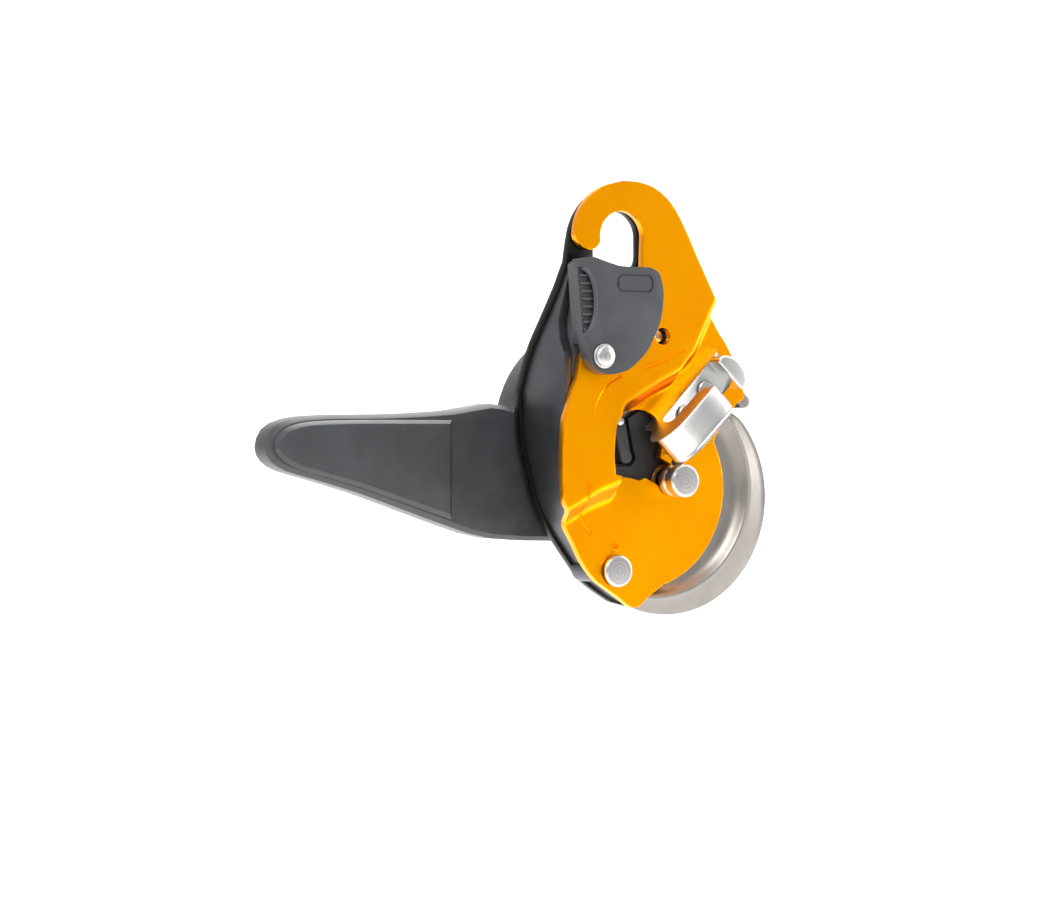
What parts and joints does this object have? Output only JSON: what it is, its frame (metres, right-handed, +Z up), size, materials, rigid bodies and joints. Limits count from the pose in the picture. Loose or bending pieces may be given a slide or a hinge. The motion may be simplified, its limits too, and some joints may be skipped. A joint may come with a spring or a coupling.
{
  "type": "self-braking descender",
  "caption": "Self-braking rope descender with a swinging gold side plate, sprung gate, camming pulley, auxiliary brake and rear control lever.",
  "frame": {"origin": "centre of the attachment hole at the top of the plates, on the depth line where the rest pose hangs", "axes": "+Z up towards the anchor, +X to the right seen from the front, the gold moving plate faces -Y and the control lever is behind at +Y"},
  "size_m": [0.1862, 0.065, 0.1509],
  "materials": {
    "gold_aluminium": "gold anodised, satin",
    "black_aluminium": "black anodised, satin",
    "stainless": "satin blasted",
    "bright_steel": "polished satin",
    "nylon_grey": "fine texture",
    "spring_steel": "drawn",
    "bronze": "sintered",
    "red_nylon": "satin"
  },
  "bodies": {
    "frame": {"fixed_side_plate": "black_aluminium", "side_wall": "black_aluminium", "guide_block": "nylon_grey", "friction_shoe": "stainless", "main_axle": "stainless", "axle_retaining_ring": "stainless", "handle_bearing_ring": "bronze", "plate_pivot_rivet": "stainless", "stop_pin": "bright_steel"},
    "side_plate": {"moving_side_plate": "gold_aluminium", "auxiliary_brake": "bright_steel", "brake_rivet_lower": "bright_steel", "brake_rivet_upper": "bright_steel", "gate_rivet": "bright_steel"},
    "gate": {"gate": "nylon_grey", "gate_washer": "bright_steel", "gate_spring": "spring_steel"},
    "cam": {"cam_pulley": "stainless", "cam_bush": "bronze", "catch_pin": "bright_steel", "cam_return_spring": "spring_steel", "cam_shield": "nylon_grey"},
    "catch": {"anti_error_catch": "nylon_grey"},
    "handle": {"handle_lever": "nylon_grey", "handle_hub_cap": "nylon_grey", "handle_shaft": "stainless", "handle_crank": "stainless", "handle_screw": "bright_steel", "button_spring": "spring_steel"},
    "button": {"handle_button": "red_nylon"}
  },
  "joints": [
    {"name": "side_plate_hinge", "type": "hinge", "parent": "frame", "child": "side_plate", "pos_m": [0.0027, 0, -0.1153], "axis": [0, 1, 0], "range_deg": [0, 30]},
    {"name": "gate_hinge", "type": "hinge", "parent": "side_plate", "child": "gate", "pos_m": [-0.0108, 0, -0.0414], "axis": [0, 1, 0], "range_deg": [0, 22], "stiffness_Nm_per_rad": 0.03, "springref_deg": -11.46},
    {"name": "handle_hinge", "type": "hinge", "parent": "frame", "child": "handle", "pos_m": [0.015, 0, -0.067], "axis": [0, 1, 0], "range_deg": [-45, 100]},
    {"name": "cam_hinge", "type": "hinge", "parent": "frame", "child": "cam", "pos_m": [0.0256, 0, -0.0841], "axis": [0, 1, 0], "range_deg": [-4, 8.2]},
    {"name": "catch_hinge", "type": "hinge", "parent": "cam", "child": "catch", "pos_m": [0.0075, 0, -0.0635], "axis": [0, 1, 0], "range_deg": [0, 12], "stiffness_Nm_per_rad": 0.002, "springref_deg": -9.74},
    {"name": "button_slide", "type": "slide", "parent": "handle", "child": "button", "axis": [0, -1, 0], "range_m": [0, 0.0025], "stiffness_N_per_m": 200, "springref_m": -0.0005}
  ],
  "couplings": [
    {"joint": "cam_hinge", "follows": "handle_hinge", "ratio": 0.08}
  ]
}
